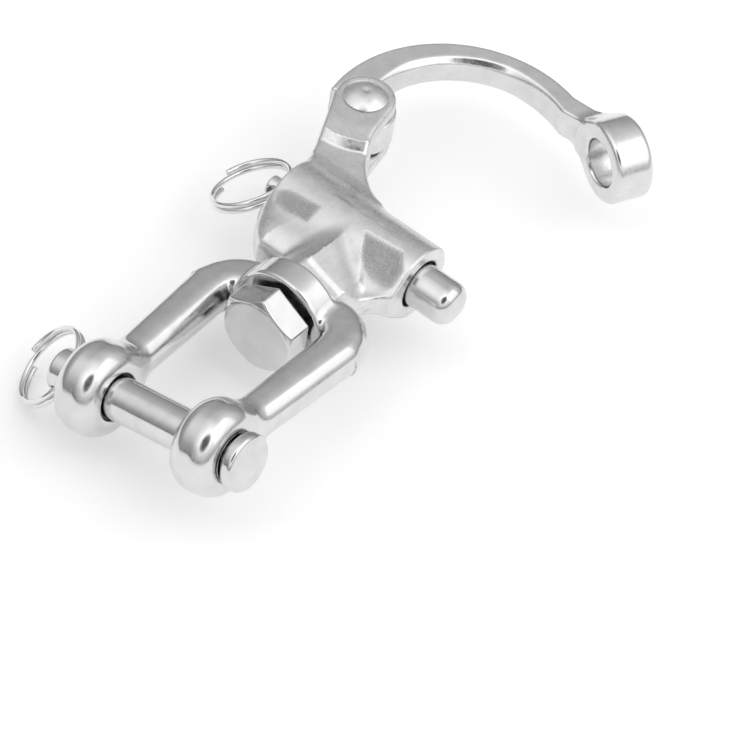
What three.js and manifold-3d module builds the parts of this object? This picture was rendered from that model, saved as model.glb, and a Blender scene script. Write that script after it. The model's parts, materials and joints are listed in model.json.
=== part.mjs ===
// Jaw-swivel snap shackle in cast stainless steel, about 83 mm long when closed. Millimetres.
//
// The body frame has X along the plunger towards its nose, Y along the swivel axis away from the
// jaw, and Z square to the flat body. It starts where the plunger and swivel axes cross, and the
// finished group is shifted so that its origin is the middle of the underside.

import * as THREE from 'three';
import { mergeVertices } from 'three/addons/utils/BufferGeometryUtils.js';
import Module from 'manifold-3d';

const wasm = await Module();
wasm.setup();

// Rest pose: the gate stands open, the jaw is turned a little on its swivel.
const GATE_OPEN = THREE.MathUtils.degToRad(64.9);
const JAW_TURN = THREE.MathUtils.degToRad(-11.6);

const ROUND = 36;
const FINE = 20;
const RUNNING_GAP = 0.3;

// Body casting
const BARREL_R = 5.9;
const BARREL_TAIL = -14.6;
const MOUTH = 10.3;
const BORE_R = 3.8;
const BORE_END = -10.6;
const BOSS_END = -14.6;
const BOSS_R = 6.3;
const BOSS_TOP_R = 5.0;
const WEB_RIM_HALF = 2.1;
const WEB_ROOT_HALF = 3.6;
const WEB_ROOT_SCALE = 0.84;
const NECK_HALF = 3.8;
const EAR_HALF = 5.2;
const EAR_R = 4.6;
const EAR_PAD_R = 9.3;
const HINGE = new THREE.Vector2(-16.7, 19.7);
const NECK_ANGLE = THREE.MathUtils.degToRad(116.2);
const SLOT_HALF = 2.9;
const SLOT_DEPTH = 7.0;

// Gate
const GATE_HALF = 2.6;
const GATE_BEVEL = 0.5;
const KNUCKLE_R = 4.9;
const RING_FACE = 29.5;
const RING_DROP = -19.7;
const RING_WIDTH = 6.3;
const RING_R = 6.4;
const RING_BORE_R = 3.75;

// Rivet
const RIVET_R = 2.0;
const RIVET_HEAD_R = 3.5;
const RIVET_DOME = 1.3;
const RIVET_LIFT = 0.12;

// Plunger, its spring and the two split rings
const PLUNGER_R = 3.5;
const PLUNGER_TIP = 17.2;
const PLUNGER_SHOULDER = 0.5;
const ROD_R = 1.6;
const ROD_END = -17.9;
const ROD_HOLE = -16.3;
const SPRING_WIRE = 0.8;
const SPRING_MEAN_R = 2.75;
const SPRING_TURNS = 6.5;
const RING_WIRE = 0.85;
const SPLIT_RING_R = 6.1;
const RING_HOLE_R = 1.15;
const RING_SEAT = 0.43;
const PULL_RING_DROOP = THREE.MathUtils.degToRad(31);

// Swivel bolt and clevis
const COLLAR_FAR = -15.05;
const COLLAR_NEAR = -19.6;
const COLLAR_R = 7.6;
const BOLT_R = 3.0;
const BOLT_END = -6.2;
const HEX_CORNER_R = 6.8;
const HEX_TOP = -20.4;
const HEX_FACE = -24.8;
const HEX_FACE_R = 5.6;
const SHOULDER_R = 3.5;
const SHOULDER_Y = -16.2;
const BEND_R = 5.0;
const LEG_X = 11.9;
const LEG_FOOT_X = 10.8;
const LEG_R = 3.4;
const LEG_FOOT_R = 3.1;
const PIN_Y = -46.3;
const EYE_X = 10.7;
const EYE_R = 7.05;
const EYE_HALF = 3.8;
const EYE_ROUND = 2.4;
const EYE_BORE_R = 3.6;

// Clevis pin
const PIN_R = 3.25;
const PIN_HEAD_R = 4.4;
const PIN_HEAD_INNER = 15.0;
const PIN_HEAD_OUTER = 17.0;
const PIN_TAIL = -17.9;
const PIN_HOLE = -16.2;
const PIN_HOLE_TILT = THREE.MathUtils.degToRad(30);
const PIN_RING_DROOP = THREE.MathUtils.degToRad(30);

const X_AXIS = new THREE.Vector3(1, 0, 0);
const Y_AXIS = new THREE.Vector3(0, 1, 0);

// ---- Solids ----

// Welds the corners, drops the slivers a lathe leaves on its axis, and turns the faces outwards.
function toSolid(geometry) {
  const bare = geometry.clone();
  bare.deleteAttribute('normal');
  bare.deleteAttribute('uv');
  const merged = mergeVertices(bare, 1e-4);
  const points = merged.attributes.position;
  const corners = [new THREE.Vector3(), new THREE.Vector3(), new THREE.Vector3()];
  const triangles = [];
  let volume = 0;
  for (let first = 0; first < merged.index.count; first += 3) {
    const [a, b, c] = [0, 1, 2].map((step) => merged.index.getX(first + step));
    if (a !== b && b !== c && c !== a) {
      triangles.push([a, b, c]);
      [a, b, c].forEach((index, place) => corners[place].fromBufferAttribute(points, index));
      volume += corners[0].dot(corners[1].cross(corners[2]));
    }
  }
  const outward = volume > 0 ? triangles : triangles.map((triangle) => triangle.reverse());
  return new wasm.Manifold(new wasm.Mesh({
    numProp: 3,
    vertProperties: new Float32Array(points.array),
    triVerts: new Uint32Array(outward.flat()),
  }));
}

function toGeometry(solid) {
  const mesh = solid.getMesh();
  const geometry = new THREE.BufferGeometry();
  geometry.setAttribute('position', new THREE.BufferAttribute(new Float32Array(mesh.vertProperties), 3));
  geometry.setIndex(new THREE.BufferAttribute(new Uint32Array(mesh.triVerts), 1));
  return geometry;
}

function union(...geometries) {
  return geometries.map(toSolid).reduce((total, next) => total.add(next));
}

function cut(solid, ...geometries) {
  return geometries.map(toSolid).reduce((total, next) => total.subtract(next), solid);
}

// ---- Shapes ----

// A solid of revolution about X. The profile lists [x, radius] pairs in order along X.
function turnedAboutX(profile, segments = ROUND) {
  const points = profile.map(([x, radius]) => new THREE.Vector2(radius, x));
  return new THREE.LatheGeometry(points, segments).rotateZ(-Math.PI / 2);
}

// The same about Y, with [y, radius] pairs.
function turnedAboutY(profile, segments = ROUND) {
  return new THREE.LatheGeometry(profile.map(([y, radius]) => new THREE.Vector2(radius, y)), segments);
}

function rodAlongX(radius, from, to, segments = ROUND) {
  return turnedAboutX([[from, 0], [from, radius], [to, radius], [to, 0]], segments);
}

function rodAlongY(radius, from, to, segments = ROUND) {
  return turnedAboutY([[from, 0], [from, radius], [to, radius], [to, 0]], segments);
}

function rodAlongZ(radius, half, segments = ROUND) {
  return new THREE.CylinderGeometry(radius, radius, 2 * half, segments).rotateX(Math.PI / 2);
}

// A flat plate of the given outline, centred on Z = 0, with its rims bevelled.
function plate(outline, half, bevel) {
  return new THREE.ExtrudeGeometry(outline, {
    depth: 2 * (half - bevel),
    bevelThickness: bevel,
    bevelSize: bevel,
    bevelOffset: -bevel,
    bevelSegments: 1,
    curveSegments: FINE,
  }).translate(0, 0, bevel - half);
}

// A round bar swept along a curve.
function bar(curve, radius, steps, sides) {
  const section = new THREE.Shape();
  section.absarc(0, 0, radius, 0, 2 * Math.PI);
  return new THREE.ExtrudeGeometry(section, { steps, curveSegments: sides / 2, extrudePath: curve });
}

// A ring-shaped profile about X: a bored disc whose outer and inner rims are rounded.
function roundedRing(outerR, boreR, half, round, boreRound, segments = ROUND) {
  const corner = (x, r, radius, from) => [0, 1, 2, 3].map((step) => {
    const angle = from + (step / 3) * (Math.PI / 2);
    return [x + radius * Math.cos(angle), r + radius * Math.sin(angle)];
  });
  const profile = [
    ...corner(half - round, outerR - round, round, 0),
    ...corner(round - half, outerR - round, round, Math.PI / 2),
    ...corner(boreRound - half, boreR + boreRound, boreRound, Math.PI),
    ...corner(half - boreRound, boreR + boreRound, boreRound, 1.5 * Math.PI),
  ];
  profile.push(profile[0]);
  return turnedAboutX(profile.reverse(), segments);
}

class Helix extends THREE.Curve {
  constructor(radius, pitch, turns, startAngle) {
    super();
    Object.assign(this, { radius, pitch, turns, startAngle });
  }

  getPoint(t, target = new THREE.Vector3()) {
    const angle = this.startAngle + 2 * Math.PI * this.turns * t;
    return target.set(
      this.radius * Math.cos(angle),
      this.radius * Math.sin(angle),
      this.pitch * this.turns * (t - 0.5),
    );
  }
}

// ---- Body casting ----

// The fan between the barrel and the swivel boss: a broad lobe at the tail end, a smaller web
// under the mouth.
function webOutline() {
  const outline = new THREE.Shape();
  outline.moveTo(BARREL_TAIL + 0.3, 3);
  outline.lineTo(BARREL_TAIL, -1);
  outline.bezierCurveTo(-14.9, -6, -12.6, -10.2, -8.0, -12.2);
  outline.lineTo(5.0, -12.2);
  outline.lineTo(6.6, -10.2);
  outline.lineTo(9.4, -6.8);
  outline.quadraticCurveTo(MOUTH, -5.6, MOUTH, -4.4);
  outline.lineTo(MOUTH, 3);
  outline.closePath();
  return outline;
}

function neckOutline() {
  const outline = new THREE.Shape();
  outline.moveTo(-14.4, -2);
  outline.quadraticCurveTo(-14.9, 4, -15.8, 7);
  outline.lineTo(-20.9, 17.8);
  outline.absarc(HINGE.x, HINGE.y, EAR_R, 1.13 * Math.PI, 0, true);
  outline.lineTo(-11.3, 14.6);
  outline.bezierCurveTo(-10.6, 11.2, -7.6, 7.4, -2.6, 5.6);
  outline.lineTo(-2.6, -2);
  outline.closePath();
  return outline;
}

// The slot between the ears is milled square to the neck.
function slotCutter() {
  const reach = 14;
  return new THREE.BoxGeometry(2 * reach, 2 * reach, 2 * SLOT_HALF)
    .translate(0, reach - SLOT_DEPTH, 0)
    .rotateZ(NECK_ANGLE - Math.PI / 2)
    .translate(HINGE.x, HINGE.y, 0);
}

function bodyCasting() {
  const rimRound = 0.6;
  const barrel = turnedAboutX([
    [BARREL_TAIL, 0],
    [BARREL_TAIL, BARREL_R - rimRound],
    [BARREL_TAIL + rimRound, BARREL_R],
    [MOUTH - rimRound, BARREL_R],
    [MOUTH, BARREL_R - rimRound],
    [MOUTH, 0],
  ]);
  const boss = turnedAboutY([[BOSS_END, 0], [BOSS_END, BOSS_R], [0, BOSS_TOP_R], [0, 0]]);
  const web = plate(webOutline(), WEB_RIM_HALF, 0.7);
  const webRoot = plate(webOutline(), WEB_ROOT_HALF, 1.2).scale(WEB_ROOT_SCALE, WEB_ROOT_SCALE, 1);
  const neck = plate(neckOutline(), NECK_HALF, 0.8);
  const earPad = toSolid(plate(neckOutline(), EAR_HALF, 0.5))
    .intersect(toSolid(rodAlongZ(EAR_PAD_R, EAR_HALF + 1).translate(HINGE.x, HINGE.y, 0)));
  const mouthFlare = turnedAboutX([
    [MOUTH - 0.5, 0],
    [MOUTH - 0.5, BORE_R],
    [MOUTH + 1, BORE_R + 1.2],
    [MOUTH + 1, 0],
  ]);
  return toGeometry(cut(
    union(barrel, boss, web, webRoot, neck).add(earPad),
    rodAlongX(BORE_R, BORE_END, MOUTH + 1),
    mouthFlare,
    rodAlongX(ROD_R + RUNNING_GAP, BARREL_TAIL - 4, BORE_END + 1, FINE),
    rodAlongY(BOLT_R + RUNNING_GAP, BOSS_END - 1, BOLT_END + 0.6, FINE),
    slotCutter(),
    rodAlongZ(RIVET_R + RUNNING_GAP, EAR_HALF + 1, FINE).translate(HINGE.x, HINGE.y, 0),
  ));
}

// ---- Gate, drawn closed with the hinge at its origin ----

function gateOutline() {
  const outer = { x: 10.2, y: -11.1, radius: 21.1 };
  const inner = { x: 11.7, y: -10.6, radius: 16.3 };
  const outline = new THREE.Shape();
  outline.absarc(0, 0, KNUCKLE_R, 0.25 * Math.PI, 0.62 * Math.PI - 2 * Math.PI, true);
  outline.absarc(outer.x, outer.y, outer.radius, 0.63 * Math.PI, 0.03 * Math.PI, true);
  outline.lineTo(33.4, -12.8);
  outline.lineTo(33.4, RING_DROP + 1);
  outline.lineTo(29.8, RING_DROP + 1);
  outline.lineTo(29.6, -12.4);
  outline.absarc(inner.x, inner.y, inner.radius, 0.04 * Math.PI, 0.66 * Math.PI, false);
  outline.closePath();
  return outline;
}

function gateArm() {
  const ring = roundedRing(RING_R, RING_BORE_R - 1, RING_WIDTH / 2, 1.1, 0.4)
    .translate(RING_FACE + RING_WIDTH / 2, RING_DROP, 0);
  return toGeometry(cut(
    union(plate(gateOutline(), GATE_HALF, GATE_BEVEL), ring),
    rodAlongX(RING_BORE_R, RING_FACE - 1, RING_FACE + RING_WIDTH + 1).translate(0, RING_DROP, 0),
    rodAlongZ(RIVET_R + RUNNING_GAP, GATE_HALF + 1, FINE),
  ));
}

function gateRivet() {
  const base = EAR_HALF + RIVET_LIFT;
  const dome = (side) => [0, 1, 2, 3, 4].map((step) => {
    const angle = (side > 0 ? step : 4 - step) * (Math.PI / 8);
    return [side * (base + RIVET_DOME * Math.sin(angle)), RIVET_HEAD_R * Math.cos(angle)];
  });
  const profile = [...dome(-1), [-base, RIVET_R], [base, RIVET_R], ...dome(1)];
  profile[0][1] = 0;
  profile[profile.length - 1][1] = 0;
  return turnedAboutY(profile, 28).rotateX(Math.PI / 2);
}

// ---- Plunger, spring and split rings ----

function crossHole(x, tilt) {
  return rodAlongY(RING_HOLE_R, -6, 6, FINE).rotateX(tilt).translate(x, 0, 0);
}

function plunger() {
  const noseRound = 1.5;
  const flat = PLUNGER_R - noseRound;
  const nose = [0, 1, 2, 3].map((step) => {
    const angle = (step / 3) * (Math.PI / 2);
    return [PLUNGER_TIP - noseRound + noseRound * Math.sin(angle), flat + noseRound * Math.cos(angle)];
  });
  const turned = turnedAboutX([
    [ROD_END, 0],
    [ROD_END, ROD_R - 0.4],
    [ROD_END + 0.4, ROD_R],
    [PLUNGER_SHOULDER, ROD_R],
    [PLUNGER_SHOULDER, PLUNGER_R],
    ...nose,
    [PLUNGER_TIP, 0],
  ]);
  return toGeometry(cut(toSolid(turned), crossHole(ROD_HOLE, 0)));
}

function plungerSpring() {
  const free = PLUNGER_SHOULDER - BORE_END - SPRING_WIRE - 2 * RUNNING_GAP;
  const helix = new Helix(SPRING_MEAN_R, free / SPRING_TURNS, SPRING_TURNS, 0);
  return bar(helix, SPRING_WIRE / 2, 78, 6)
    .rotateY(Math.PI / 2)
    .translate((PLUNGER_SHOULDER + BORE_END) / 2, 0, 0);
}

// Two turns of wire side by side. The ring runs along Y where it threads its hole at the origin,
// a little past the middle of the hole so that its curve clears both ends, and lies out along -X.
function splitRing() {
  const pitch = RING_WIRE + 0.07;
  return bar(new Helix(SPLIT_RING_R, pitch, 1.96, 1.02 * Math.PI), RING_WIRE / 2, 56, 8)
    .translate(RING_SEAT - SPLIT_RING_R, 0, 0);
}

// ---- Swivel bolt, clevis and pin ----

function swivelBolt() {
  const head = new THREE.CylinderGeometry(HEX_CORNER_R, HEX_CORNER_R, HEX_TOP - HEX_FACE, 6)
    .translate(0, (HEX_TOP + HEX_FACE) / 2, 0);
  const chamfer = turnedAboutY([
    [HEX_FACE, 0],
    [HEX_FACE, HEX_FACE_R],
    [HEX_FACE + 0.8, HEX_CORNER_R + 0.1],
    [HEX_TOP + 1, HEX_CORNER_R + 0.1],
    [HEX_TOP + 1, 0],
  ]);
  const shank = rodAlongY(BOLT_R, HEX_TOP - 1, BOLT_END, FINE);
  return toGeometry(toSolid(head).intersect(toSolid(chamfer)).add(toSolid(shank)));
}

// One arm of the U, on the +X side: out of the collar, round the bend and down to the eye.
function clevisArm() {
  const bendCentre = new THREE.Vector2(LEG_X - BEND_R, SHOULDER_Y - BEND_R);
  const shoulder = rodAlongX(SHOULDER_R, 4.6, bendCentre.x + 0.3, 24).translate(0, SHOULDER_Y, 0);
  const bend = new THREE.EllipseCurve(bendCentre.x, bendCentre.y, BEND_R, BEND_R, Math.PI / 2, 0, true);
  const bendPoints = bend.getPoints(12).map(({ x, y }) => new THREE.Vector3(x, y, 0));
  const bendPath = new THREE.CatmullRomCurve3(bendPoints);
  const knee = new THREE.Vector3(LEG_X, bendCentre.y, 0);
  const foot = new THREE.Vector3(LEG_FOOT_X, PIN_Y + 3, 0);
  const along = knee.clone().sub(foot);
  const lean = new THREE.Quaternion().setFromUnitVectors(Y_AXIS, along.clone().normalize());
  const leg = new THREE.CylinderGeometry(LEG_R, LEG_FOOT_R, along.length() + 0.6, 24)
    .applyQuaternion(lean)
    .translate((knee.x + foot.x) / 2, (knee.y + foot.y) / 2, 0);
  const eye = roundedRing(EYE_R, EYE_BORE_R - 1, EYE_HALF, EYE_ROUND, 0.4).translate(EYE_X, PIN_Y, 0);
  return union(shoulder, bar(bendPath, SHOULDER_R, 10, 24), leg, eye);
}

function clevis() {
  const rim = 0.8;
  const collar = turnedAboutY([
    [COLLAR_NEAR, 0],
    [COLLAR_NEAR, COLLAR_R - rim],
    [COLLAR_NEAR + rim, COLLAR_R],
    [COLLAR_FAR - rim / 2, COLLAR_R],
    [COLLAR_FAR, COLLAR_R - rim / 2],
    [COLLAR_FAR, 0],
  ]);
  const right = clevisArm();
  const left = right.mirror([1, 0, 0]);
  return toGeometry(cut(
    toSolid(collar).add(right).add(left),
    rodAlongX(EYE_BORE_R, -EYE_X - 6, EYE_X + 6, 28).translate(0, PIN_Y, 0),
    rodAlongY(BOLT_R + 0.7, COLLAR_NEAR - 3, COLLAR_FAR + 3, FINE),
    rodAlongY(BOSS_R + RUNNING_GAP, COLLAR_FAR, 0),
  ));
}

function clevisPin() {
  const edge = 0.6;
  const turned = turnedAboutX([
    [PIN_TAIL, 0],
    [PIN_TAIL, PIN_R - edge],
    [PIN_TAIL + edge, PIN_R],
    [PIN_HEAD_INNER, PIN_R],
    [PIN_HEAD_INNER, PIN_HEAD_R],
    [PIN_HEAD_OUTER - edge, PIN_HEAD_R],
    [PIN_HEAD_OUTER - edge / 3, PIN_HEAD_R - edge / 3],
    [PIN_HEAD_OUTER, PIN_HEAD_R - edge],
    [PIN_HEAD_OUTER, 0],
  ], 32);
  return toGeometry(cut(toSolid(turned), crossHole(PIN_HOLE, PIN_HOLE_TILT)));
}

// ---- Assembly ----

function piece(name, geometry, colour, roughness) {
  geometry.computeVertexNormals();
  const material = new THREE.MeshStandardMaterial({ color: colour, roughness, metalness: 1 });
  const mesh = new THREE.Mesh(geometry, material);
  mesh.name = name;
  return mesh;
}

function placed(mesh, x, y, z) {
  mesh.position.set(x, y, z);
  return mesh;
}

function gateGroup() {
  const group = new THREE.Group();
  group.add(piece('gate_arm', gateArm(), 0xc9cacb, 0.24));
  group.position.set(HINGE.x, HINGE.y, 0);
  group.rotation.z = GATE_OPEN;
  return group;
}

function pullRing() {
  const ring = placed(piece('pull_ring', splitRing(), 0xd4d5d6, 0.14), ROD_HOLE, 0, 0);
  ring.rotation.y = -PULL_RING_DROOP;
  return ring;
}

function pinRing() {
  const ring = placed(piece('pin_split_ring', splitRing(), 0xd4d5d6, 0.14), PIN_HOLE, 0, 0);
  ring.quaternion
    .setFromAxisAngle(X_AXIS, PIN_HOLE_TILT)
    .multiply(new THREE.Quaternion().setFromAxisAngle(Y_AXIS, -PIN_RING_DROOP));
  return ring;
}

function jawGroup() {
  const pinAxis = new THREE.Group();
  pinAxis.add(piece('clevis_pin', clevisPin(), 0xcfd0d1, 0.16), pinRing());
  pinAxis.position.y = PIN_Y;
  const group = new THREE.Group();
  group.add(piece('clevis', clevis(), 0xc6c7c8, 0.22), pinAxis);
  group.rotation.y = JAW_TURN;
  return group;
}

const shackle = new THREE.Group();
shackle.add(
  piece('body_casting', bodyCasting(), 0xc2c3c4, 0.3),
  placed(piece('gate_rivet', gateRivet(), 0xcfd0d1, 0.18), HINGE.x, HINGE.y, 0),
  piece('plunger', plunger(), 0xcfd0d1, 0.16),
  piece('plunger_spring', plungerSpring(), 0xb8b9ba, 0.3),
  pullRing(),
  piece('swivel_bolt', swivelBolt(), 0xbfc0c1, 0.2),
  gateGroup(),
  jawGroup(),
);
shackle.updateMatrixWorld(true);

const box = new THREE.Box3().setFromObject(shackle, true);
const middle = box.getCenter(new THREE.Vector3());
shackle.position.set(-middle.x, -middle.y, -box.min.z);
shackle.updateMatrixWorld(true);

export default shackle;
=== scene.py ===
"""Looks of the jaw-swivel snap shackle: cast, forged and turned stainless steel, in the CAD frame.

Shapes are worked out in millimetres in the body frame, which starts where the plunger's axis meets
the swivel's axis: X along the plunger, Y along the swivel away from the jaw, Z square to the body.
"""

import json
import math

import bmesh
import bpy
import numpy as np
from mathutils import Matrix, Vector


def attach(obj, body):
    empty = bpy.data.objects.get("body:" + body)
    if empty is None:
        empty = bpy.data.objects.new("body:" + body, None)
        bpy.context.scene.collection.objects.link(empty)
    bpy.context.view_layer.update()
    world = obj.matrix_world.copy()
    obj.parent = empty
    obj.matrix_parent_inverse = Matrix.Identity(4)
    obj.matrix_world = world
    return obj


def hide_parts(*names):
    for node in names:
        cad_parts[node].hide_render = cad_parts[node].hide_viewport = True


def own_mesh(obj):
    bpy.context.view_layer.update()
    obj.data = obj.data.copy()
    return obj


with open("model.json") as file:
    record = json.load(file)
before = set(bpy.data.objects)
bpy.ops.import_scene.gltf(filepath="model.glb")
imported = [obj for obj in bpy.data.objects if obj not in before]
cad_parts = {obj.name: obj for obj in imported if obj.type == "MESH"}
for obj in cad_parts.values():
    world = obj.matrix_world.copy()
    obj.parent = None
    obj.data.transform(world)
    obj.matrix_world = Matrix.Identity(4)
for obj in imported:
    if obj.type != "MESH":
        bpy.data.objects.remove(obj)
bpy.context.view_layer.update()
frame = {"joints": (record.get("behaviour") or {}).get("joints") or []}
MM = 0.001

JOINTS = {joint["name"]: joint for joint in frame["joints"]}
HINGE_AT = Vector(JOINTS["gate_hinge"]["pos_m"])
SWIVEL_AT = Vector(JOINTS["jaw_swivel"]["pos_m"])
PULL_AT = Vector(JOINTS["pull_ring_swing"]["pos_m"])
PIN_AT = Vector(JOINTS["pin_spin"]["pos_m"])
PIN_AXIS = Vector(JOINTS["pin_spin"]["axis"])

ORIGIN = Vector((SWIVEL_AT.x, PULL_AT.y, PULL_AT.z))
BODY = Matrix.Translation(ORIGIN) @ Matrix.Scale(MM, 4)
JAW_TURN = -math.atan2(PIN_AXIS.z, PIN_AXIS.x)
JAW = BODY @ Matrix.Rotation(JAW_TURN, 4, "Y")
GATE_OPEN = math.radians(64.9)
GATE = Matrix.Translation(HINGE_AT) @ Matrix.Rotation(GATE_OPEN, 4, "Z") @ Matrix.Scale(MM, 4)

# Body casting
BARREL_R = 5.9
BARREL_TAIL = -14.6
MOUTH = 10.3
BORE_R = 3.85
ROD_HOLE_R = 2.0
BOSS_END = -14.6
BOSS_R = 6.4
BOSS_TOP_R = 5.0
HINGE = (HINGE_AT - ORIGIN) / MM
EAR_R = 4.6
EAR_HALF = 5.2
NECK_HALF = 3.7
SLOT_HALF = 2.9
SLOT_FLOOR = 7.0
BORE_END = -10.6
ROD_HOLE_END = 1
BOLT_HOLE_END = -5.6
NECK_ANGLE = math.radians(116.2)

# Gate
GATE_HALF = 2.6
KNUCKLE_R = 4.9
RING_FACE = 29.5
RING_DROP = -19.7
RING_WIDTH = 6.3
RING_R = 6.4
RING_BORE_R = 3.7

# Turned pieces and wire
PLUNGER_R = 3.5
PLUNGER_TIP = 17.2
PLUNGER_SHOULDER = 0.5
NOSE_LENGTH = 2.3
NOSE_DEPTH = 1.9
NOSE_SQUASH = 1.21
ROD_R = 1.6
ROD_END = -17.9
ROD_HOLE = (PULL_AT - ORIGIN).x / MM
CROSS_HOLE_R = 1.15
RIVET_R = 2.0
RIVET_HEAD_R = 3.5
RIVET_DOME = 1.25
SPRING_WIRE = 0.8
SPRING_MEAN_R = 2.75
SPRING_TURNS = 6.5
SPRING_SEAT = -10.3
WIRE = 0.85
SPLIT_RING_R = 6.1
RING_SEAT = 0.43

# Swivel bolt, clevis and pin
HEX_CORNER_R = 6.8
HEX_TOP = -20.4
HEX_FACE = -24.8
HEX_FACE_R = 5.6
HEX_CHAMFER = 1.75
HEX_CHAMFER_LENGTH = 2.016
BOLT_R = 3.0
BOLT_END = -6.2
COLLAR_FAR = -15.05
COLLAR_NEAR = -19.6
COLLAR_R = 7.6
COLLAR_BORE_R = 3.7
SHOULDER_Y = -16.2
SHOULDER_R = 3.5
BEND_R = 5.0
LEG_X = 11.9
LEG_R = 3.5
LEG_FOOT_X = 10.8
LEG_FOOT_R = 3.1
LEG_FLAT = 2.95
PIN_Y = (PIN_AT - ORIGIN).y / MM
EYE_X = 10.7
EYE_R = 7.05
EYE_HALF = 3.8
EYE_ROUND = 3.0
EYE_BORE_R = 3.6
PIN_R = 3.25
PIN_HEAD_R = 4.4
PIN_HEAD_INNER = 15.0
PIN_HEAD_OUTER = 17.0
PIN_TAIL = -17.9
PIN_HOLE = -16.2

# Clearances, and a distance that is larger than the whole shackle
RIVET_GAP = 0.15
RUNNING_GAP = 0.35
FAR = 50.0


# ---- Distance fields: negative inside, in millimetres ----


def blend_in(a, b, width):
    """Union of two fields with a soft hollow where they meet."""
    h = np.clip(0.5 + 0.5 * (b - a) / width, 0, 1)
    return b * (1 - h) + a * h - width * h * (1 - h)


def trim(a, b, width):
    """The part inside both fields, with a soft edge."""
    return -blend_in(-a, -b, width)


def carve(a, b, width):
    """Field a with field b taken away, with a soft edge."""
    return -blend_in(-a, b, width)


def fillet(a, b, radius):
    """Union with a round fillet."""
    hollow = np.hypot(np.maximum(radius - a, 0), np.maximum(radius - b, 0))
    return np.maximum(radius, np.minimum(a, b)) - hollow


def smoothstep(value, low, high):
    t = np.clip((value - low) / (high - low), 0, 1)
    return t * t * (3 - 2 * t)


def disc(along, radial, low, high, radius, edge):
    """A cylinder given its coordinate along the axis and off it, with rounded rims."""
    a = np.abs(along - (low + high) / 2) - (high - low) / 2 + edge
    b = radial - radius + edge
    return np.minimum(np.maximum(a, b), 0) + np.hypot(np.maximum(a, 0), np.maximum(b, 0)) - edge


def segment_rod(x, y, z, start, end, start_r, end_r):
    """A round bar between two points of the XY plane, whose radius changes evenly."""
    dx = end[0] - start[0]
    dy = end[1] - start[1]
    t = np.clip(((x - start[0]) * dx + (y - start[1]) * dy) / (dx * dx + dy * dy), 0, 1)
    off = np.sqrt((x - start[0] - t * dx) ** 2 + (y - start[1] - t * dy) ** 2 + z**2)
    return off - (start_r + (end_r - start_r) * t)


def outline_field(x, y, corners):
    """Signed distance in the XY plane to a closed outline."""
    nearest = np.full(np.broadcast(x, y).shape, np.inf)
    inside = np.zeros(nearest.shape, bool)
    for (ax, ay), (bx, by) in zip(corners, corners[1:] + corners[:1]):
        dx = bx - ax
        dy = by - ay
        t = np.clip(((x - ax) * dx + (y - ay) * dy) / (dx * dx + dy * dy), 0, 1)
        nearest = np.minimum(nearest, (x - ax - t * dx) ** 2 + (y - ay - t * dy) ** 2)
        if dy:
            crosses = ((ay > y) != (by > y)) & (x < dx * (y - ay) / dy + ax)
            inside ^= crosses
    return np.where(inside, -1.0, 1.0) * np.sqrt(nearest)


def arc_points(centre, radius, start, end, steps=16):
    angles = [math.radians(start + (end - start) * step / steps) for step in range(steps + 1)]
    return [(centre[0] + radius * math.cos(a), centre[1] + radius * math.sin(a)) for a in angles]


def curve_points(*controls, steps=12):
    """Points of a Bezier curve through its first and last controls."""
    points = []
    for step in range(steps + 1):
        t = step / steps
        row = [np.array(c, float) for c in controls]
        while len(row) > 1:
            row = [a * (1 - t) + b * t for a, b in zip(row, row[1:])]
        points.append(tuple(row[0]))
    return points


# ---- From field to mesh ----


def sample(field, low, high, cell):
    counts = np.ceil((np.array(high) - low) / cell).astype(int) + 1
    axes = [low[i] + cell * np.arange(counts[i]) for i in range(3)]
    x = axes[0][:, None, None]
    y = axes[1][None, :, None]
    z = axes[2][None, None, :]
    return np.broadcast_to(field(x, y, z), tuple(counts))


def slope(field, p, step=0.02):
    columns = []
    for axis in range(3):
        ahead = p.copy()
        back = p.copy()
        ahead[:, axis] += step
        back[:, axis] -= step
        columns.append((field(*ahead.T) - field(*back.T)) / (2 * step))
    return np.stack(columns, 1)


def settle(field, p, reach, passes=4):
    """Moves points onto the surface of the field."""
    for _ in range(passes):
        gradient = slope(field, p)
        size = np.maximum((gradient**2).sum(1), 0.05)
        move = (field(*p.T) / size)[:, None] * gradient
        length = np.maximum(np.linalg.norm(move, axis=1, keepdims=True), 1e-9)
        p = p - move * np.minimum(1, reach / length)
    return p


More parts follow.
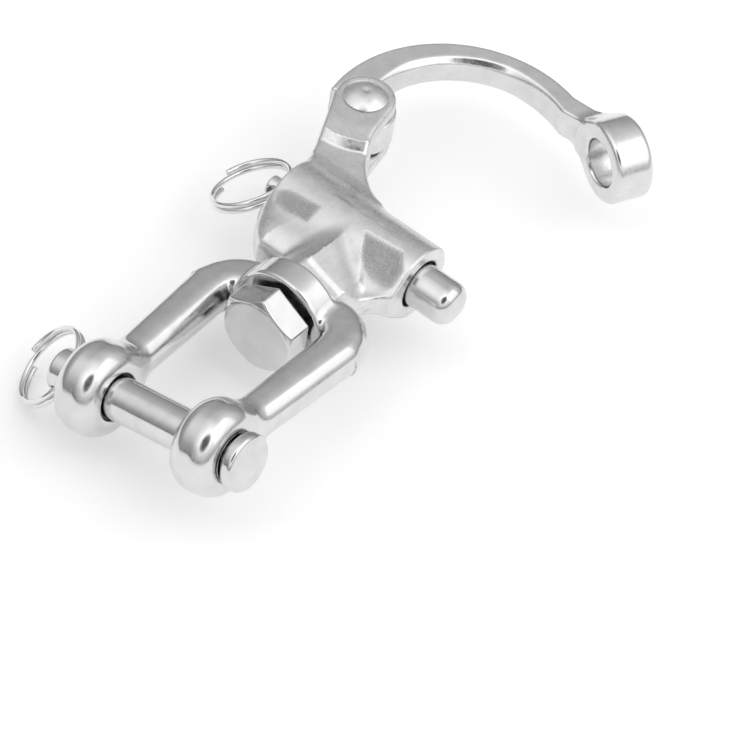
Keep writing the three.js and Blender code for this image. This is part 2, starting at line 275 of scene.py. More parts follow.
def skin(field, low, high, cell):
    """The surface of a field as vertices and quads, one vertex for each cell that the surface crosses."""
    low = np.array(low, float)
    values = sample(field, low, high, cell)
    inside = values < 0
    cells = np.array(values.shape) - 1
    total = np.zeros((*cells, 3))
    hits = np.zeros(cells, int)
    edges = []
    for axis in range(3):
        u, v = [other for other in range(3) if other != axis]
        first = [slice(None)] * 3
        second = [slice(None)] * 3
        first[axis] = slice(None, -1)
        second[axis] = slice(1, None)
        a = values[tuple(first)]
        b = values[tuple(second)]
        crossing = inside[tuple(first)] != inside[tuple(second)]
        at = np.argwhere(crossing)
        keep = (at[:, u] > 0) & (at[:, v] > 0) & (at[:, u] < cells[u]) & (at[:, v] < cells[v])
        at = at[keep]
        start = a[tuple(at.T)]
        share = start / (start - b[tuple(at.T)])
        point = at.astype(float)
        point[:, axis] += share
        corners = []
        for du, dv in ((-1, -1), (0, -1), (0, 0), (-1, 0)):
            cell_at = at.copy()
            cell_at[:, u] += du
            cell_at[:, v] += dv
            np.add.at(total, tuple(cell_at.T), point)
            np.add.at(hits, tuple(cell_at.T), 1)
            corners.append(cell_at)
        edges.append((corners, (start < 0) ^ (axis == 1)))
    used = np.argwhere(hits > 0)
    number = np.full(cells, -1)
    number[tuple(used.T)] = np.arange(len(used))
    points = low + cell * total[tuple(used.T)] / hits[tuple(used.T)][:, None]
    quads = []
    for corners, forward in edges:
        ring = np.stack([number[tuple(c.T)] for c in corners], 1)
        quads.append(np.where(forward[:, None], ring, ring[:, ::-1]))
    return points, np.concatenate(quads)


def field_piece(name, field, low, high, cell, matrix):
    """A mesh object of a field's surface, with normals taken from the field itself."""
    points, quads = skin(field, low, high, cell)
    points = settle(field, points, cell)
    normals = slope(field, points)
    normals /= np.maximum(np.linalg.norm(normals, axis=1, keepdims=True), 1e-9)
    mesh = bpy.data.meshes.new(name)
    mesh.from_pydata(points.tolist(), [], quads.tolist())
    mesh.transform(matrix)
    turn = np.array(matrix.to_3x3().normalized())
    mesh.normals_split_custom_set_from_vertices((normals @ turn.T).tolist())
    mesh.validate()
    piece = bpy.data.objects.new(name, mesh)
    bpy.context.scene.collection.objects.link(piece)
    mark(piece, "local", points)
    return piece


def mark(piece, name, values):
    """Stores a vector for each vertex under a name that materials can read."""
    attribute = piece.data.attributes.new(name, "FLOAT_VECTOR", "POINT")
    attribute.data.foreach_set("vector", np.asarray(values, np.float32).ravel())


# ---- Turned and wire pieces ----


def turned_piece(name, profile, matrix, segments):
    """A solid of revolution about X. The profile starts and ends on the axis."""
    rows = profile[1:-1]
    vertices = []
    for along, radius in rows:
        for step in range(segments):
            angle = 2 * math.pi * step / segments
            vertices.append((along, radius * math.cos(angle), radius * math.sin(angle)))
    faces = []
    for row in range(len(rows) - 1):
        lower = row * segments
        upper = lower + segments
        for step in range(segments):
            ahead = (step + 1) % segments
            faces.append((lower + step, lower + ahead, upper + ahead, upper + step))
    last = (len(rows) - 1) * segments
    faces.append(tuple(range(segments))[::-1])
    faces.append(tuple(last + step for step in range(segments)))
    mesh = bpy.data.meshes.new(name)
    mesh.from_pydata(vertices, [], faces)
    mesh.validate()
    return finish_mesh(name, mesh, matrix)


def finish_mesh(name, mesh, matrix, angle=40):
    """Turns a mesh's faces outwards, shades it smooth and puts it in place."""
    work = bmesh.new()
    work.from_mesh(mesh)
    bmesh.ops.recalc_face_normals(work, faces=work.faces)
    work.to_mesh(mesh)
    work.free()
    piece = bpy.data.objects.new(name, mesh)
    bpy.context.scene.collection.objects.link(piece)
    mark(piece, "local", [v.co[:] for v in mesh.vertices])
    mesh.transform(matrix)
    mesh.shade_smooth()
    mesh.set_sharp_from_angle(angle=math.radians(angle))
    return piece


# Each station of a wire's rounded end: its share of the radius, and its distance in, in radii
CAP_STATIONS = [(0.55, 0.0), (0.85, 0.16), (1.0, 0.4)]


def cap_stations(point, tangent, normal, radius):
    """The rounded end of a wire, going in along the tangent, or against it if the radius is negative."""
    return [(point + tangent * radius * inward, tangent, normal, share) for share, inward in CAP_STATIONS]


def wire_piece(name, path, radius, matrix, sides=16):
    """A round wire along a list of points, with softly rounded ends."""
    points = [np.array(p, float) for p in path]
    tangents = np.gradient(np.array(points), axis=0)
    tangents /= np.linalg.norm(tangents, axis=1, keepdims=True)
    normal = np.cross(tangents[0], (0.0, 0.0, 1.0))
    normal /= np.linalg.norm(normal)
    rings = []
    normals = []
    for tangent in tangents:
        normal = normal - tangent * normal.dot(tangent)
        normal /= np.linalg.norm(normal)
        normals.append(normal)
    start = points[0], tangents[0], normals[0]
    stations = cap_stations(*start, radius)
    stations += list(zip(points[2:-2], tangents[2:-2], normals[2:-2], [1.0] * (len(points) - 4)))
    end = points[-1], tangents[-1], normals[-1]
    stations += cap_stations(*end, -radius)[::-1]
    for centre, tangent, across, scale in stations:
        up = np.cross(tangent, across)
        for side in range(sides):
            angle = 2 * math.pi * side / sides
            off = across * math.cos(angle) + up * math.sin(angle)
            rings.append(centre + off * radius * scale)
    faces = []
    for row in range(len(stations) - 1):
        for side in range(sides):
            ahead = (side + 1) % sides
            a = row * sides
            b = a + sides
            faces.append((a + side, a + ahead, b + ahead, b + side))
    last = (len(stations) - 1) * sides
    faces.append(tuple(range(sides))[::-1])
    faces.append(tuple(last + side for side in range(sides)))
    mesh = bpy.data.meshes.new(name)
    mesh.from_pydata([tuple(p) for p in rings], [], faces)
    return finish_mesh(name, mesh, matrix, angle=60)


def coil(radius, pitch, turns, start, steps):
    """Points of a helix about Z, centred on the origin."""
    points = []
    for step in range(steps + 1):
        t = step / steps
        angle = start + 2 * math.pi * turns * t
        along = pitch * turns * (t - 0.5)
        points.append((radius * math.cos(angle), radius * math.sin(angle), along))
    return points


# ---- Body casting ----

WEB_OUTLINE = (
    [(-13.6, 3.0), (-14.6, 0.5), (-14.8, -2.0), (-14.6, -5.2)]
    + curve_points((-14.3, -6.6), (-13.4, -10.4), (-10.4, -12.1))
    + [(5.0, -12.1), (7.0, -10.0), (9.2, -7.2), (10.3, -6.0), (10.3, 3.0)]
)
NECK_OUTLINE = (
    curve_points((-14.4, -2.0), (-14.9, 4.6), (-17.0, 10.2), (-21.0, 17.6))
    + arc_points(HINGE, EAR_R, 205, 4)
    + curve_points((-11.7, 18.0), (-10.9, 12.0), (-8.0, 8.4), (-2.0, 5.2))
    + [(-1.0, -2.0)]
)
LEFT_HOLLOW = [(-13.6, -4.3), (-12.6, -3.4), (-6.8, -2.9), (-6.8, -5.8), (-10.2, -6.2), (-13.0, -5.6)]
RIGHT_HOLLOW = [(1.0, -2.2), (7.3, -1.6), (9.0, -3.6), (9.0, -5.6), (7.4, -8.2), (5.2, -7.6), (2.6, -4.6)]
LEFT_DEPTH = 0.1
RIGHT_DEPTH = 0.38
CREST_X = -1.4
CREST_SINK = 0.15
FACET_SLOPE = 0.4
FACET_START = (-0.9, -2.7)
FACET_SPREAD = 0.76
PAD_FLAT_R = 6.5
PAD_LIP_R = 9.1
PAD_STEP_R = 10.3
PAD_SLOPE = 0.3
PAD_STEP = NECK_HALF - EAR_HALF + 0.4

# Half thickness of the web at its edge and what it gains inwards, at the tail and under the mouth
LOBE_EDGE = 1.5
LOBE_RISE = 2.8
LOBE_REACH = 6.5
NOSE_EDGE = 1.75
NOSE_RISE = 1.5

# The tail face leans back above the barrel's middle, and steeply at its top, clear of the pull ring
TAIL_TRIM = 0.1
TAIL_LEAN = 0.22
TAIL_LEAN_Y = 2.5
TAIL_STEEP = 1.5
TAIL_STEEP_Y = 6.3

# How wide the casting's parts run into each other
WEB_BLEND = 3.2
BOSS_BLEND = 1.1
FAN_BLEND = 1.0
NECK_BLEND = 2.0
PAD_BLEND = 0.25

# Faint dark lines painted along the barrel: the first is painted shade in the hollow where the neck meets
# the barrel, the second a dark line along the barrel's top. Height, half width, where each starts and
# where it ends
CREASE_SHADE_AND_STREAKS = [(4.6, 0.4, (-14.5, -12), (-7, -4)), (0.2, 0.35, (-10, -7), (4, 7))]


def pad_height(reach):
    """Half height of the thick ears: flat round the rivet, falling away to a lip and a short step."""
    slope_down = PAD_SLOPE * smoothstep(reach, PAD_FLAT_R - 0.6, PAD_LIP_R + 0.2)
    step_down = PAD_STEP * np.clip((reach - PAD_LIP_R) / (PAD_STEP_R - PAD_LIP_R), 0, 3)
    return EAR_HALF - slope_down + step_down


def web_height(x, depth):
    """Half thickness of the web: a full lobe at the tail end, a thinner web under the mouth."""
    inward = np.clip(depth / LOBE_REACH, 0, 1)
    tail = LOBE_EDGE + LOBE_RISE * np.sqrt(np.clip(1 - (1 - inward) ** 2, 0, 1))
    nose = NOSE_EDGE + NOSE_RISE * smoothstep(depth, 0.5, 6.0)
    share = smoothstep(x, -4.0, 3.0)
    return tail * (1 - share) + nose * share


def hollow_shares(x, y):
    """How far a point lies in each of the shallow as-cast hollows beside the barrel, from 0 to 1."""
    left = smoothstep(-outline_field(x, y, LEFT_HOLLOW), -0.5, 0.7)
    right = smoothstep(-outline_field(x, y, RIGHT_HOLLOW), -0.5, 0.7)
    return left, right


def boss_facet(x, y, high):
    """The flat right flank of the boss, falling from a crest left of its middle."""
    crest = BOSS_TOP_R + (BOSS_R - BOSS_TOP_R) * y / BOSS_END - CREST_SINK
    return (high - crest + FACET_SLOPE * (x - CREST_X)) / math.hypot(1, FACET_SLOPE)


def facet_edge(x, y, high):
    """The slanting edge where that flank, fanning out from the barrel, drops to the web."""
    beyond = x - FACET_START[0] - FACET_SPREAD * (FACET_START[1] - y)
    return (beyond / math.hypot(1, FACET_SPREAD) + high - 3.0) * math.sqrt(0.5)


def crease_shade_and_streak_share(x, y):
    """How far a point lies in the dark lines painted along the barrel, from 0 to 1: painted shade where
    the neck meets the barrel, and a dark line along its top.
    """
    total = 0
    for height, width, starts, ends in CREASE_SHADE_AND_STREAKS:
        across = np.exp(-(((y - height) / width) ** 2))
        total = total + across * smoothstep(x, *starts) * (1 - smoothstep(x, *ends))
    return total


def barrel_web_and_boss(x, y, z):
    """The barrel with the web under it, the cone of the boss and the fan from its flat flank."""
    high = np.abs(z)
    barrel = disc(x, np.hypot(y, z), BARREL_TAIL, MOUTH, BARREL_R, 0.45)
    flank = (np.hypot(x, z) - BOSS_TOP_R - (BOSS_R - BOSS_TOP_R) * y / BOSS_END) * 0.99
    facet = boss_facet(x, y, high)
    boss = trim(trim(trim(flank, facet, 0.2), BOSS_END - y, 0.6), y - 1, 1)
    rim = outline_field(x, y, WEB_OUTLINE)
    web = trim(high - web_height(x, -rim), rim, 0.6)
    fan = trim(np.maximum(facet, CREST_X + 0.4 - x), np.maximum(facet_edge(x, y, high), rim), 0.5)
    return blend_in(blend_in(blend_in(barrel, web, WEB_BLEND), boss, BOSS_BLEND), fan, FAN_BLEND)


def with_neck(solid, x, y, high):
    """Adds the neck and the thick ears at its end."""
    edge = outline_field(x, y, NECK_OUTLINE)
    neck = trim(high - NECK_HALF, edge, 1.0)
    reach = np.hypot(x - HINGE.x, y - HINGE.y)
    pad = trim(trim(high - pad_height(reach), edge, 0.8), reach - PAD_STEP_R - 0.6, 0.3)
    return blend_in(blend_in(solid, neck, NECK_BLEND), pad, PAD_BLEND)


def tail_face(y):
    lean = BARREL_TAIL - TAIL_TRIM - TAIL_LEAN * np.maximum(y - TAIL_LEAN_Y, 0)
    return lean - TAIL_STEEP * np.maximum(y - TAIL_STEEP_Y, 0)


def body_cutters(x, y, z):
    """The slot between the ears and the holes, each with the softness of its edge."""
    around = np.hypot(y, z)
    along = (x - HINGE.x) * math.cos(NECK_ANGLE) + (y - HINGE.y) * math.sin(NECK_ANGLE)
    slot = trim(np.abs(z) - SLOT_HALF, -SLOT_FLOOR - along, 0.5)
    bore = trim(around - BORE_R, BORE_END - x, 0.3)
    rod_hole = trim(around - ROD_HOLE_R, x - ROD_HOLE_END, 0.3)
    bolt_hole = trim(np.hypot(x, z) - BOLT_R - RUNNING_GAP, y - BOLT_HOLE_END, 0.3)
    rivet_hole = np.hypot(x - HINGE.x, y - HINGE.y) - RIVET_R - RIVET_GAP
    return (slot, 0.5), (bore, 0.35), (rod_hole, 0.4), (bolt_hole, 0.4), (rivet_hole, 0.2)


def body_field(x, y, z):
    high = np.abs(z)
    solid = with_neck(barrel_web_and_boss(x, y, z), x, y, high)
    left, right = hollow_shares(x, y)
    solid = solid + (LEFT_DEPTH * left + RIGHT_DEPTH * right) * smoothstep(high, 1.5, 3.0)
    solid = trim(trim(solid, x - MOUTH, 0.25), tail_face(y) - x, 0.3)
    for cutter, edge_width in body_cutters(x, y, z):
        solid = carve(solid, cutter, edge_width)
    return solid


def body_casting():
    piece = field_piece("body_visual", body_field, (-22.4, -15.4, -6.2), (11.2, 25.2, 6.2), 0.28, BODY)
    local = np.zeros(len(piece.data.vertices) * 3)
    piece.data.attributes["local"].data.foreach_get("vector", local)
    x, y, z = local.reshape(-1, 3).T
    share = np.maximum(*hollow_shares(x, y)) * smoothstep(np.abs(z), 1.2, 2.4)
    share = share * (1 - 0.8 * smoothstep(-y, 4.6, 7.0) * (x > 0))
    # The second attribute carries the dark lines painted along the barrel, one of them painted shade
    # where the neck meets it.
    for name, values in (("as_cast", share), ("crease_shade_and_streak", crease_shade_and_streak_share(x, y))):
        attribute = piece.data.attributes.new(name, "FLOAT", "POINT")
        attribute.data.foreach_set("value", values.astype(np.float32))
    return piece


# ---- Gate, drawn closed with the hinge at its origin ----

INNER_ARC = (11.7, -10.6)
INNER_ARC_R = 16.3
GATE_OUTLINE = (
    arc_points((10.2, -11.1), 21.1, 128, 8, 40)
    + [(33.4, -12.6), (33.4, RING_DROP + 2), (29.9, RING_DROP + 2), (29.6, -12.9)]
    + arc_points(INNER_ARC, INNER_ARC_R, 2, 134, 40)
)

# The inner bevel widens away from the hinge and narrows again before the ring
BEVEL_LEAST = 0.25
BEVEL_GAIN = 0.65
BEVEL_WIDENS = (3.0, 12.0)
BEVEL_NARROWS = (24.0, 29.0)

# Behind the ring's face the arm may reach further back the higher it lies above the ring
ARM_START = 5
ARM_LEAN = 0.2
ARM_CURVE = 0.35


def gate_field(x, y, z):
    high = np.abs(z)
    rim = outline_field(x, y, GATE_OUTLINE)
    inner = np.hypot(x - INNER_ARC[0], y - INNER_ARC[1]) - INNER_ARC_R
    arm = trim(high - GATE_HALF, rim, 0.5)
    width = BEVEL_LEAST + BEVEL_GAIN * smoothstep(x, *BEVEL_WIDENS) * (1 - smoothstep(x, *BEVEL_NARROWS))
    bevel = (high - GATE_HALF + width - inner) * math.sqrt(0.5)
    arm = trim(arm, bevel, 0.25)
    knuckle = disc(z, np.hypot(x, y), -GATE_HALF, GATE_HALF, KNUCKLE_R, 0.35)
    solid = blend_in(arm, knuckle, 0.8)
    around = np.hypot(y - RING_DROP, z)
    far = RING_FACE + RING_WIDTH
    ring = disc(x, around, RING_FACE, far, RING_R, 1.1)
    solid = blend_in(solid, ring, 2.6)
    above = np.maximum(y - RING_DROP - ARM_START, 0)
    solid = trim(solid, RING_FACE - x - ARM_LEAN * above - ARM_CURVE * above**2, 0.6)
    solid = carve(solid, around - RING_BORE_R, 0.7)
    return carve(solid, np.hypot(x, y) - RIVET_R - RIVET_GAP, 0.2)


def gate_arm():
    return field_piece("gate_visual", gate_field, (-5.6, -26.8, -7.0), (35.6, 10.8, 7.0), 0.28, GATE)


# ---- Clevis and swivel bolt ----


def clevis_field(x, y, z):
    side = np.abs(x)
    around = np.hypot(side, z)
    collar = disc(y, around, COLLAR_NEAR, COLLAR_FAR, COLLAR_R, 0.55)
    bend_x = LEG_X - BEND_R
    bend_y = SHOULDER_Y - BEND_R
    off = np.hypot(side - bend_x, y - bend_y)
    corner = np.where((side > bend_x) & (y > bend_y), np.hypot(off - BEND_R, z) - SHOULDER_R, FAR)
    shoulder = segment_rod(side, y, z, (0.0, SHOULDER_Y), (bend_x, SHOULDER_Y), SHOULDER_R, SHOULDER_R)
    leg = segment_rod(side, y, z, (LEG_X, bend_y), (LEG_FOOT_X, PIN_Y + 3), LEG_R, LEG_FOOT_R)
    bow = trim(blend_in(np.minimum(corner, shoulder), leg, 0.6), np.abs(z) - LEG_FLAT, 0.5)
    solid = fillet(collar, bow, 1.0)
    from_pin = np.hypot(y - PIN_Y, z)
    eye = disc(side - EYE_X, from_pin, -EYE_HALF, EYE_HALF, EYE_R, EYE_ROUND)
    solid = blend_in(solid, eye, 2.2)
    seat = trim(around - BOSS_R - RUNNING_GAP, COLLAR_FAR - y, 0.3)
    solid = carve(solid, seat, 0.3)
    solid = carve(solid, trim(around - COLLAR_BORE_R, COLLAR_NEAR - 4 - y, 0.3), 0.35)
    return carve(solid, from_pin - EYE_BORE_R, 0.5)


def clevis():
    return field_piece("clevis_visual", clevis_field, (-15.8, -54.2, -8.2), (15.8, -12.0, 8.2), 0.3, JAW)


def bolt_field(x, y, z):
    head = np.full(np.broadcast(x, y, z).shape, -FAR)
    flats = HEX_CORNER_R * math.cos(math.pi / 6)
    for step in range(6):
        angle = math.pi / 3 * step
        head = trim(head, x * math.cos(angle) + z * math.sin(angle) - flats, 0.2)
    radial = np.hypot(x, z)
    head = trim(trim(head, y - HEX_TOP, 0.2), HEX_FACE - y, 0.2)
    chamfer = (radial - HEX_FACE_R - HEX_CHAMFER * (y - HEX_FACE)) / HEX_CHAMFER_LENGTH
    head = trim(head, chamfer, 0.2)
    shank = disc(y, radial, HEX_TOP - 1, BOLT_END, BOLT_R, 0.4)
    return np.minimum(head, shank)


def swivel_bolt():
    return field_piece("bolt_visual", bolt_field, (-7.4, -25.4, -7.4), (7.4, -5.6, 7.4), 0.2, BODY)


# ---- Turned pieces ----


def with_cross_hole(field, at, tilt):
    """A field with a hole of the split ring's size across it."""
    cos_tilt = math.cos(tilt)
    sin_tilt = math.sin(tilt)

    def drilled(x, y, z):
        hole = np.hypot(x - at, z * cos_tilt - y * sin_tilt) - CROSS_HOLE_R
        return carve(field(x, y, z), hole, 0.25)

    return drilled


def plunger_field(x, y, z):
    around = np.hypot(y, z)
    body = disc(x, around, PLUNGER_SHOULDER, PLUNGER_TIP, PLUNGER_R, 0.3)
    ahead = np.maximum(x - PLUNGER_TIP + NOSE_LENGTH, 0)
    outward = np.maximum(around - PLUNGER_R + NOSE_DEPTH, 0) * NOSE_SQUASH
    nose = np.hypot(ahead, outward) - NOSE_LENGTH
    body = trim(body, nose, 0.3)
    rod = disc(x, around, ROD_END, PLUNGER_SHOULDER + 1, ROD_R, 0.4)
    return fillet(body, rod, 0.3)


def plunger():
    field = with_cross_hole(plunger_field, ROD_HOLE, 0)
    return field_piece("plunger_visual", field, (-18.4, -4.0, -4.0), (17.8, 4.0, 4.0), 0.16, BODY)


def pin_field(x, y, z):
    around = np.hypot(y, z)
    shank = disc(x, around, PIN_TAIL, PIN_HEAD_INNER + 1, PIN_R, 0.6)
    head = disc(x, around, PIN_HEAD_INNER, PIN_HEAD_OUTER, PIN_HEAD_R, 0.65)
    return fillet(shank, head, 0.15)


def clevis_pin():
    field = with_cross_hole(pin_field, PIN_HOLE, math.radians(30))
    place = JAW @ Matrix.Translation((0, PIN_Y, 0))
    return field_piece("pin_visual", field, (-18.4, -4.8, -4.8), (17.4, 4.8, 4.8), 0.18, place)


def gate_rivet():
    base = EAR_HALF + 0.02
    dome_r = (RIVET_HEAD_R**2 + RIVET_DOME**2) / (2 * RIVET_DOME)
    reach = math.asin(RIVET_HEAD_R / dome_r)
    dimple_r = 0.55
    dimple_depth = 0.22
    rim_share = 0.96
    steps = 16
    crown = base + RIVET_DOME
    head = [(base, RIVET_R), (base, RIVET_HEAD_R - 0.1), (base + 0.12, RIVET_HEAD_R)]
    for step in range(steps):
        angle = reach * (rim_share - rim_share * step / steps)
        r = dome_r * math.sin(angle)
        sink = dimple_depth * math.exp(-((r / dimple_r) ** 2))
        head.append((crown - dome_r * (1 - math.cos(angle)) - sink, r))
    top = head + [(crown - dimple_depth, 0.02), (crown - dimple_depth, 0.0)]
    profile = [(-a, r) for a, r in reversed(top)] + top
    place = BODY @ Matrix.Translation((HINGE.x, HINGE.y, 0)) @ Matrix.Rotation(-math.pi / 2, 4, "Y")
    return turned_piece("rivet_visual", profile, place, segments=72)


def plunger_spring():
    length = PLUNGER_SHOULDER - SPRING_SEAT - SPRING_WIRE
    path = coil(SPRING_MEAN_R, length / SPRING_TURNS, SPRING_TURNS, 0, 260)
    middle = (PLUNGER_SHOULDER + SPRING_SEAT) / 2
    place = BODY @ Matrix.Translation((middle, 0, 0)) @ Matrix.Rotation(math.pi / 2, 4, "Y")
    return wire_piece("spring_visual", path, SPRING_WIRE / 2, place, sides=12)


def split_ring(name, place):
    path = coil(SPLIT_RING_R, WIRE + 0.07, 1.96, math.radians(183.6), 220)
    return wire_piece(name, path, WIRE / 2, place @ Matrix.Translation((RING_SEAT - SPLIT_RING_R, 0, 0)))


def pull_ring():
    droop = math.radians(31)
    place = BODY @ Matrix.Translation((ROD_HOLE, 0, 0)) @ Matrix.Rotation(-droop, 4, "Y")
    return split_ring("pull_ring_visual", place)


def pin_ring():
    turn = Matrix.Rotation(math.radians(30), 4, "X") @ Matrix.Rotation(-math.radians(30), 4, "Y")
    place = JAW @ Matrix.Translation((PIN_HOLE, PIN_Y, 0)) @ turn
    return split_ring("pin_ring_visual", place)


# ---- Materials ----


class Nodes:
    """A short way to build a material's node tree."""

    def __init__(self, name):
        self.material = bpy.data.materials.new(name)
        self.material.use_nodes = True
        self.tree = self.material.node_tree
        self.shader = self.tree.nodes["Principled BSDF"]

    def add(self, kind, inputs=(), **settings):
        node = self.tree.nodes.new(kind)
        for key, value in settings.items():
            setattr(node, key, value)
        for socket, value in dict(inputs).items():
            if isinstance(value, bpy.types.NodeSocket):
                self.tree.links.new(value, node.inputs[socket])
            else:
                node.inputs[socket].default_value = value
        return node

    def local(self, scale=(1, 1, 1)):
        """The piece's own millimetres, stretched by scale."""
        source = self.add("ShaderNodeAttribute", attribute_name="local")
        inputs = {"Vector": source.outputs["Vector"], "Scale": scale}
        return self.add("ShaderNodeMapping", inputs).outputs[0]

    def noise(self, scale, detail=4.0, stretch=(1, 1, 1), rough=0.55):
        inputs = {"Vector": self.local(stretch), "Scale": scale, "Detail": detail, "Roughness": rough}
        return self.add("ShaderNodeTexNoise", inputs).outputs["Fac"]

    def ramp(self, value, low, high, to_low, to_high):
        inputs = {"Value": value, "From Min": low, "From Max": high, "To Min": to_low, "To Max": to_high}
        return self.add("ShaderNodeMapRange", inputs).outputs["Result"]

    def math(self, operation, a, b):
        return self.add("ShaderNodeMath", {0: a, 1: b}, operation=operation).outputs[0]

    def mix(self, share, a, b):
        node = self.add("ShaderNodeMix", data_type="RGBA")
        for socket, value in ((node.inputs[0], share), (node.inputs[6], a), (node.inputs[7], b)):
            if isinstance(value, bpy.types.NodeSocket):
                self.tree.links.new(value, socket)
            else:
                socket.default_value = value
        return node.outputs[2]

    def bump(self, height, distance, strength=1.0, normal=None):
        inputs = {"Height": height, "Distance": distance * MM, "Strength": strength}
        if normal is not None:
            inputs["Normal"] = normal
        return self.add("ShaderNodeBump", inputs).outputs["Normal"]

    def put(self, socket, value):
        if isinstance(value, bpy.types.NodeSocket):
            self.tree.links.new(value, self.shader.inputs[socket])
        else:
            self.shader.inputs[socket].default_value = value


def grey(level, warm=0.0):
    return (level * (1 + warm), level, level * (1 - warm), 1.0)


def pitted(nodes, strength, normal):
    """Small round dents scattered over the skin."""
    inputs = {"Vector": nodes.local(), "Scale": 1.6, "Randomness": 1.0}
    spots = nodes.add("ShaderNodeTexVoronoi", inputs)
    dent = nodes.ramp(spots.outputs["Distance"], 0.02, 0.13, 0.0, 1.0)
    return nodes.bump(dent, 0.02, strength, normal)


def cast_skin(nodes, shade, colour, roughness, normal):
    """Dull grain in the as-cast hollows, and the dark lines along the barrel: painted shade where the
    neck meets it, and a dark line along its top.
    """
    share = nodes.add("ShaderNodeAttribute", attribute_name="as_cast").outputs["Fac"]
    grain = nodes.noise(3.6, 5.0, rough=0.75)
    speck = nodes.ramp(grain, 0.42, 0.62, 0.0, 1.0)
    dull = nodes.math("MULTIPLY", share, nodes.ramp(grain, 0.4, 0.62, 0.45, 0.0))
    colour = nodes.mix(dull, colour, grey(shade * 0.5))
    flow = nodes.noise(1.1, 5.0, stretch=(0.35, 2.2, 1), rough=0.7)
    # Painted shade: darkens the hollow where the neck meets the barrel, and draws a dark line along the
    # barrel's top.
    crease_shade_and_streak = nodes.add("ShaderNodeAttribute", attribute_name="crease_shade_and_streak").outputs["Fac"]
    line = nodes.math("MULTIPLY", crease_shade_and_streak, nodes.ramp(flow, 0.4, 0.62, 0.0, 0.75))
    colour = nodes.mix(line, colour, grey(shade * 0.45))
    colour = nodes.mix(nodes.ramp(flow, 0.3, 0.7, 0.0, 0.1), colour, grey(shade * 0.6))
    roughness = nodes.math("ADD", roughness, nodes.math("MULTIPLY", share, 0.15))
    normal = nodes.bump(nodes.math("MULTIPLY", speck, share), 0.12, 1.0, normal)
    return colour, roughness, nodes.bump(flow, 0.02, 0.5, normal)


def steel(name, shade, rough, brush=(1, 1, 1), waviness=0.02, pits=0.0, cast=False):
    """Polished stainless steel: cloudy tone, smears in the polish, fine scratches and slow waviness.

    brush stretches the fine scratches along the tool's way, in the piece's own frame.
    """
    nodes = Nodes(name)
    cloud = nodes.noise(0.35, 5.0)
    smear = nodes.noise(1.4, 6.0, rough=0.65)
    fine = nodes.noise(9.0, 3.0, stretch=brush)
    tone = nodes.ramp(cloud, 0.35, 0.65, 0.0, 1.0)
    colour = nodes.mix(tone, grey(shade * 0.93), grey(shade * 1.03, 0.004))
    roughness = nodes.ramp(smear, 0.35, 0.7, rough * 0.7, rough * 1.35)
    roughness = nodes.math("ADD", roughness, nodes.ramp(fine, 0.3, 0.7, -0.03, 0.04))
    normal = nodes.bump(nodes.noise(0.22, 2.0), 0.12, waviness * 10)
    normal = nodes.bump(fine, 0.004, 0.5, normal)
    if pits:
        normal = pitted(nodes, pits, normal)
    if cast:
        colour, roughness, normal = cast_skin(nodes, shade, colour, roughness, normal)
    nodes.put("Base Color", colour)
    nodes.put("Metallic", 1.0)
    nodes.put("Roughness", roughness)
    nodes.put("Normal", normal)
    return nodes.material


# ---- Assembly ----

FINISHES = {
    "cast": steel("cast_stainless", 0.76, 0.34, waviness=0.035, pits=0.15, cast=True),
    "gate": steel("gate_stainless", 0.74, 0.22, waviness=0.03, pits=0.2),
    "clevis": steel("clevis_stainless", 0.7, 0.19, waviness=0.03, pits=0.15),
    "turned": steel("turned_stainless", 0.69, 0.15, brush=(14, 0.6, 0.6)),
    # Painted shade: the bolt's steel is darker than the rest, standing in for the dimmer reflection on
    # its head.
    "bolt": steel("bolt_stainless", 0.66, 0.17, brush=(1, 6, 1)),
    "rivet": steel("rivet_stainless", 0.74, 0.3, waviness=0.05, pits=0.3),
    "wire": steel("wire_stainless", 0.78, 0.12),
    "spring": steel("spring_stainless", 0.7, 0.25),
}

PIECES = [
    (body_casting, "cast", "body", "body_casting", "cast_steel"),
    (gate_arm, "gate", "gate", "gate_arm", "gate_steel"),
    (gate_rivet, "rivet", "body", "gate_rivet", "turned_steel"),
    (plunger, "turned", "plunger", "plunger", "turned_steel"),
    (plunger_spring, "spring", "body", "plunger_spring", "spring_steel"),
    (pull_ring, "wire", "pull_ring", "pull_ring", "ring_wire"),
    (swivel_bolt, "bolt", "body", "swivel_bolt", "bolt_steel"),
    (clevis, "clevis", "clevis", "clevis", "clevis_steel"),
    (clevis_pin, "turned", "clevis_pin", "clevis_pin", "turned_steel"),
    (pin_ring, "wire", "pin_ring", "pin_split_ring", "ring_wire"),
]

made = {}
for make, finish, body, node, slot in PIECES:
    piece = make()
    piece.data.materials.append(FINISHES[finish])
    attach(piece, body)
    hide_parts(node)
    made[node] = piece

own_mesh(made["plunger_spring"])


# ---- Floor, light and camera ----

FLOOR_REACH = 3.0
FLOOR_GAP = 0.0006
FLOOR_GLOW = 0.2

CAMERA_AZIMUTH = math.radians(31.86)
CAMERA_ELEVATION = math.radians(47.43)
CAMERA_ROLL = math.radians(9.87)
CAMERA_DISTANCE = 729.9 * MM
CAMERA_AIM = Vector((10.85, -8.77, -12.2))
CAMERA_LENS = 242.2

# Brightness of the tent by the sine of the height, and of its brighter panels and the camera's
# opening by the cosine of the angle from their middle.
TENT_BY_HEIGHT = [(0.0, 0.04), (0.04, 0.1), (0.12, 0.36), (0.5, 0.48), (0.74, 0.66), (1.0, 0.66)]
HALO_BY_COSINE = [(0.55, 0.0), (0.82, 0.3), (0.91, 0.7), (1.0, 0.7)]
OPENING_BY_COSINE = [(0.0, 1.0), (0.925, 1.0), (0.952, 0.1), (1.0, 0.06)]
BRIGHT_SIDE = ((math.radians(110), math.radians(38)), [(0.45, 0.0), (0.85, 0.33), (1.0, 0.38)])
BRIGHT_FRONT = ((math.radians(-45), math.radians(58)), [(0.75, 0.0), (0.92, 0.35), (1.0, 0.4)])


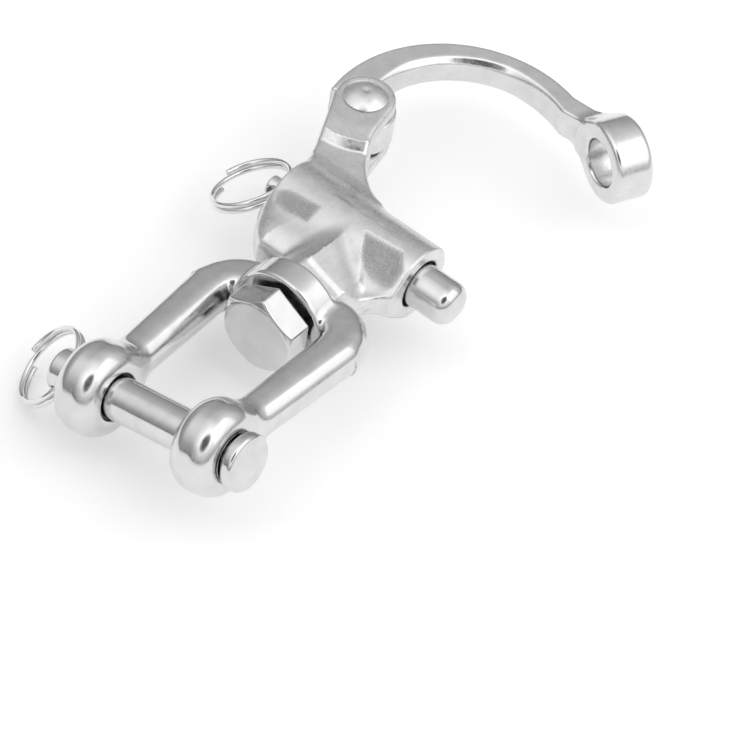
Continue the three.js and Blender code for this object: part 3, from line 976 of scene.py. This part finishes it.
def floor():
    mesh = bpy.data.meshes.new("floor")
    corners = [(-1, -1), (1, -1), (1, 1), (-1, 1)]
    mesh.from_pydata([(x * FLOOR_REACH, y * FLOOR_REACH, 0) for x, y in corners], [], [(0, 1, 2, 3)])
    piece = bpy.data.objects.new("floor", mesh)
    bpy.context.scene.collection.objects.link(piece)
    piece.location.z = -FLOOR_GAP
    nodes = Nodes("pale_floor")
    nodes.put("Base Color", grey(0.93))
    nodes.put("Roughness", 0.9)
    nodes.put("Specular IOR Level", 0.1)
    nodes.put("Emission Color", grey(1.0))
    nodes.put("Emission Strength", FLOOR_GLOW)
    mesh.materials.append(nodes.material)


def from_angles(azimuth, elevation):
    """The unit vector towards a direction, with azimuth 0 towards -Y and turning towards +X."""
    level = math.cos(elevation)
    return Vector((math.sin(azimuth) * level, -math.cos(azimuth) * level, math.sin(elevation)))


def area_light(name, azimuth, elevation, distance, size, power):
    """A soft light aimed at the middle of the shackle, from the given direction."""
    data = bpy.data.lights.new(name, "AREA")
    data.shape = "RECTANGLE"
    data.size = size[0]
    data.size_y = size[1]
    data.energy = power
    lamp = bpy.data.objects.new(name, data)
    bpy.context.scene.collection.objects.link(lamp)
    away = from_angles(math.radians(azimuth), math.radians(elevation))
    lamp.location = ORIGIN + away * distance
    lamp.rotation_euler = away.to_track_quat("Z", "Y").to_euler()


def sky():
    """A light tent: mid grey overhead, dark along the floor, and bright round its dark opening."""
    world = bpy.data.worlds.new("studio")
    world.use_nodes = True
    tree = world.node_tree
    where = tree.nodes.new("ShaderNodeTexCoord").outputs["Generated"]
    split = tree.nodes.new("ShaderNodeSeparateXYZ")
    tree.links.new(where, split.inputs[0])

    def along(direction):
        node = tree.nodes.new("ShaderNodeVectorMath")
        node.operation = "DOT_PRODUCT"
        node.inputs[1].default_value = direction
        tree.links.new(where, node.inputs[0])
        return node.outputs["Value"]

    def levels(value, stops):
        node = tree.nodes.new("ShaderNodeValToRGB")
        tree.links.new(value, node.inputs[0])
        elements = node.color_ramp.elements
        for element, (position, level) in zip(elements, (stops[0], stops[-1])):
            element.position = position
            element.color = grey(level)
        for position, level in stops[1:-1]:
            elements.new(position).color = grey(level)
        return node.outputs["Color"]

    def combine(kind, a, b):
        node = tree.nodes.new("ShaderNodeMix")
        node.data_type = "RGBA"
        node.blend_type = kind
        node.inputs[0].default_value = 1.0
        tree.links.new(a, node.inputs[6])
        tree.links.new(b, node.inputs[7])
        return node.outputs[2]

    tent = levels(split.outputs["Z"], TENT_BY_HEIGHT)
    towards_camera = from_angles(CAMERA_AZIMUTH, CAMERA_ELEVATION)
    halo = levels(along(towards_camera), HALO_BY_COSINE)
    opening = levels(along(towards_camera), OPENING_BY_COSINE)
    total = combine("ADD", tent, halo)
    for direction, brightness in (BRIGHT_SIDE, BRIGHT_FRONT):
        total = combine("ADD", total, levels(along(from_angles(*direction)), brightness))
    total = combine("MULTIPLY", total, opening)
    tree.links.new(total, tree.nodes["Background"].inputs["Color"])
    bpy.context.scene.world = world


def camera():
    data = bpy.data.cameras.new("camera")
    data.lens = CAMERA_LENS
    data.sensor_width = 36
    eye = bpy.data.objects.new("camera", data)
    bpy.context.scene.collection.objects.link(eye)
    back = from_angles(CAMERA_AZIMUTH, CAMERA_ELEVATION)
    right = Vector((math.cos(CAMERA_AZIMUTH), math.sin(CAMERA_AZIMUTH), 0))
    up = back.cross(right)
    turn = Matrix((right, up, back)).transposed() @ Matrix.Rotation(CAMERA_ROLL, 3, "Z")
    place = ORIGIN + CAMERA_AIM * MM + back * CAMERA_DISTANCE
    eye.matrix_world = Matrix.Translation(place) @ turn.to_4x4()
    bpy.context.scene.camera = eye


floor()
sky()
area_light("key", azimuth=110, elevation=45, distance=1.0, size=(1.0, 1.0), power=1.7)
camera()
bpy.context.scene.view_settings.view_transform = "Standard"
